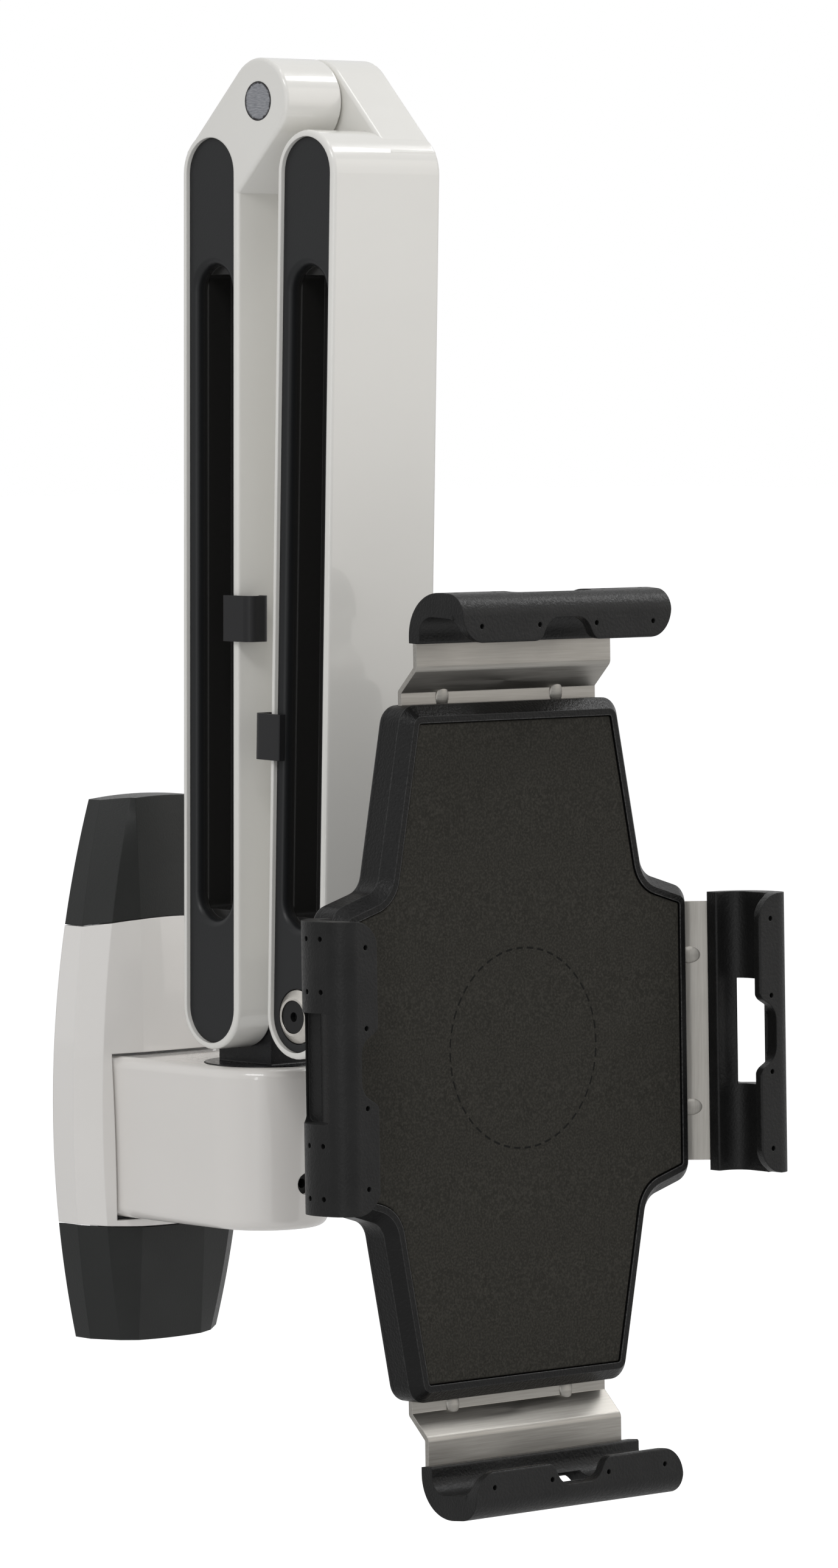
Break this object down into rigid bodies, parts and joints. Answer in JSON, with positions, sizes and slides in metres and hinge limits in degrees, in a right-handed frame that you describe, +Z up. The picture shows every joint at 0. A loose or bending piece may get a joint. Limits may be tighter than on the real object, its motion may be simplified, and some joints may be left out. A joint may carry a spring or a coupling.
{
  "type": "tablet wall mount",
  "caption": "Folding wall arm with a swivel base, cable troughs and a tilting cross-shaped tablet holder with sliding rubber-tipped brackets.",
  "frame": {"origin": "middle of the wall fixing pattern, on the wall plane", "axes": "+Z up the wall, +Y into the wall, the arm stands out towards -Y"},
  "size_m": [0.194, 0.2039, 0.4371],
  "materials": {
    "white_paint": "gloss white powder coat",
    "white_plastic": "gloss white moulding",
    "slate_plastic": "satin slate grey moulding",
    "charcoal_plastic": "satin charcoal moulding",
    "black_paint": "gloss black paint",
    "black_plastic": "fine textured black moulding",
    "black_steel": "blackened steel",
    "steel": "turned steel",
    "pin_steel": "blued steel",
    "bronze": "sintered bronze",
    "nylon": "natural nylon",
    "aluminium": "brushed aluminium sheet",
    "foam": "fine closed-cell foam",
    "rubber": "matt black rubber"
  },
  "bodies": {
    "wall_base": {"wall_plate": "steel", "top_cap": "slate_plastic", "bottom_cap": "slate_plastic", "base_cover": "white_plastic", "nose_block": "white_paint", "nose_screws": "steel", "upper_swivel_bush": "bronze", "lower_swivel_bush": "bronze", "tension_screw": "black_steel"},
    "swivel": {"swivel_knuckle": "black_paint", "spindle_washer": "steel", "spindle_nut": "steel"},
    "lower_arm": {"lower_arm_frame": "white_paint", "lower_arm_left_cover": "charcoal_plastic", "lower_arm_right_cover": "charcoal_plastic", "lower_cable_clip": "black_plastic", "lower_pivot_pin": "steel", "elbow_pin": "pin_steel", "elbow_washer": "nylon"},
    "upper_arm": {"upper_arm_frame": "white_paint", "upper_arm_left_cover": "charcoal_plastic", "upper_arm_right_cover": "charcoal_plastic", "upper_cable_clip": "black_plastic", "elbow_bush": "bronze", "tilt_ring_left": "steel", "tilt_ring_right": "steel", "tilt_bolt": "black_steel", "tilt_nut": "black_steel"},
    "knuckle": {"tilt_knuckle": "black_paint"},
    "head": {"head_link": "black_paint", "keeper_plate": "steel", "keeper_screws": "steel", "rotation_washer": "nylon", "head_swivel_pin": "black_steel"},
    "holder": {"front_shell": "black_plastic", "back_shell": "black_plastic", "foam_pad": "foam", "guide_screws": "black_steel", "shell_screws": "black_steel"},
    "top_slider": {"top_bracket": "aluminium", "top_hook": "rubber"},
    "right_slider": {"right_bracket": "aluminium", "right_hook": "rubber"},
    "bottom_slider": {"bottom_bracket": "aluminium", "bottom_hook": "rubber"},
    "left_slider": {"left_bracket": "aluminium", "left_hook": "rubber"}
  },
  "joints": [
    {"name": "base_swivel", "type": "hinge", "parent": "wall_base", "child": "swivel", "pos_m": [0, -0.06, 0], "axis": [0, 0, 1], "range_deg": [-60, 60]},
    {"name": "lower_arm_tilt", "type": "hinge", "parent": "swivel", "child": "lower_arm", "pos_m": [0, -0.06, 0.034], "axis": [1, 0, 0], "range_deg": [-8, 20]},
    {"name": "elbow", "type": "hinge", "parent": "lower_arm", "child": "upper_arm", "pos_m": [0, -0.08237, 0.314], "axis": [-1, 0, 0], "range_deg": [0, 170]},
    {"name": "head_tilt", "type": "hinge", "parent": "upper_arm", "child": "knuckle", "pos_m": [0, -0.09936, 0.03362], "axis": [1, 0, 0], "range_deg": [-15, 45]},
    {"name": "head_swivel", "type": "hinge", "parent": "knuckle", "child": "head", "pos_m": [0, -0.13035, 0.03438], "axis": [0, 0.0244, 0.9997], "range_deg": [-60, 60]},
    {"name": "holder_rotation", "type": "hinge", "parent": "head", "child": "holder", "pos_m": [0, -0.1675, 0.02826], "axis": [0, -0.9997, 0.0244], "range_deg": [-90, 90]},
    {"name": "top_slide", "type": "slide", "parent": "holder", "child": "top_slider", "axis": [0, 0.0244, 0.9997], "range_m": [-0.0005, 0.022]},
    {"name": "right_slide", "type": "slide", "parent": "holder", "child": "right_slider", "axis": [1, 0, 0], "range_m": [-0.0005, 0.022]},
    {"name": "bottom_slide", "type": "slide", "parent": "holder", "child": "bottom_slider", "axis": [0, -0.0244, -0.9997], "range_m": [-0.0005, 0.022]},
    {"name": "left_slide", "type": "slide", "parent": "holder", "child": "left_slider", "axis": [-1, 0, 0], "range_m": [-0.0005, 0.022]}
  ]
}
